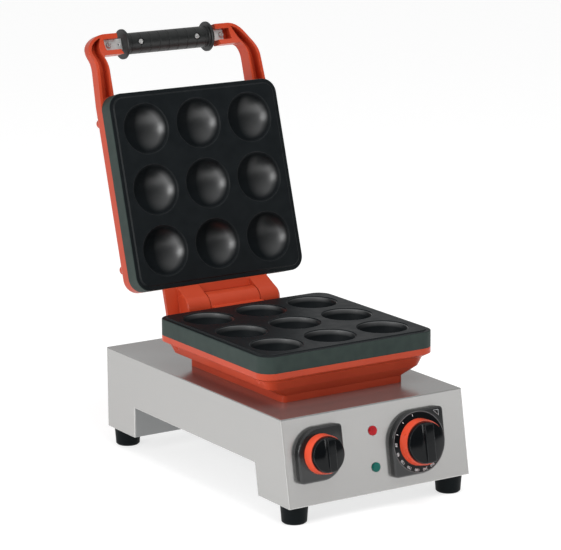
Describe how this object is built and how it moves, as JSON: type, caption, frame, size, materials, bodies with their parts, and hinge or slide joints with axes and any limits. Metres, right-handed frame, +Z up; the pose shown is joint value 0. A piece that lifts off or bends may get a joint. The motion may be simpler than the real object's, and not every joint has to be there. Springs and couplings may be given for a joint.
{
  "type": "waffle ball maker",
  "caption": "Countertop waffle ball maker: steel chassis on rubber feet, red cast base and hinged lid with round-cavity plates, bow handle, rotary controls and lamps",
  "frame": {"origin": "on the rest plane, under the middle of the object's bounding box with the lid open", "axes": "+Z up, +X to the appliance's right as seen from the front, +Y to the rear where the hinge is"},
  "size_m": [0.3, 0.6282, 0.6074],
  "materials": {
    "stainless": "satin",
    "stainless_inner": "satin",
    "foot_rubber": "matte",
    "red_enamel": "gloss enamel",
    "plate_coating": "non-stick",
    "element_steel": "oxidised",
    "insulation": "fibrous",
    "black_gloss": "gloss",
    "orange_ring": "gloss",
    "inner_plastic": "matte",
    "gland_plastic": "matte",
    "grip_black": "satin",
    "strap_steel": "satin",
    "collar_red": "gloss enamel",
    "lens_red": "gloss",
    "lens_green": "gloss",
    "steel_fasteners": "satin"
  },
  "bodies": {
    "base": {"chassis_shell": "stainless", "bottom_pan": "stainless_inner", "rear_panel": "stainless_inner", "rear_screws": "steel_fasteners", "feet": "foot_rubber", "foot_screws": "steel_fasteners", "cable_gland": "gland_plastic", "gland_nut": "gland_plastic", "terminal_block": "inner_plastic", "lower_casting": "red_enamel", "casting_bolts": "steel_fasteners", "wire_sleeve": "gland_plastic", "lower_plate": "plate_coating", "lower_element": "element_steel", "lower_insulation": "insulation", "lower_plate_screws": "steel_fasteners", "hinge_pin": "steel_fasteners", "hinge_collars": "collar_red", "hinge_cap": "collar_red", "bezel_left": "black_gloss", "bezel_right": "black_gloss", "switch_body": "inner_plastic", "thermostat_body": "inner_plastic", "lamp_red_lens": "lens_red", "lamp_red_body": "inner_plastic", "lamp_green_lens": "lens_green", "lamp_green_body": "inner_plastic"},
    "lid": {"lid_casting": "red_enamel", "lid_plate": "plate_coating", "lid_element": "element_steel", "lid_insulation": "insulation", "lid_plate_screws": "steel_fasteners", "strap": "strap_steel", "strap_screws": "steel_fasteners", "grip_front": "grip_black", "grip_rear": "grip_black", "grip_screws": "steel_fasteners"},
    "switch_knob": {"knob_left": "black_gloss", "ring_left": "orange_ring", "switch_shaft": "steel_fasteners"},
    "thermostat_knob": {"knob_right": "black_gloss", "ring_right": "orange_ring", "dial_disc": "black_gloss", "thermostat_shaft": "steel_fasteners"}
  },
  "joints": [
    {"name": "lid_hinge", "type": "hinge", "parent": "base", "child": "lid", "pos_m": [0, 0.1105, 0.2161], "axis": [1, 0, 0], "range_deg": [0, 106.26]},
    {"name": "switch_turn", "type": "hinge", "parent": "base", "child": "switch_knob", "pos_m": [-0.0965, -0.28385, 0.09574], "axis": [0, 0.9853, -0.171], "range_deg": [0, 90]},
    {"name": "thermostat_turn", "type": "hinge", "parent": "base", "child": "thermostat_knob", "pos_m": [0.0645, -0.28539, 0.08688], "axis": [0, 0.9853, -0.171], "range_deg": [0, 285]}
  ]
}
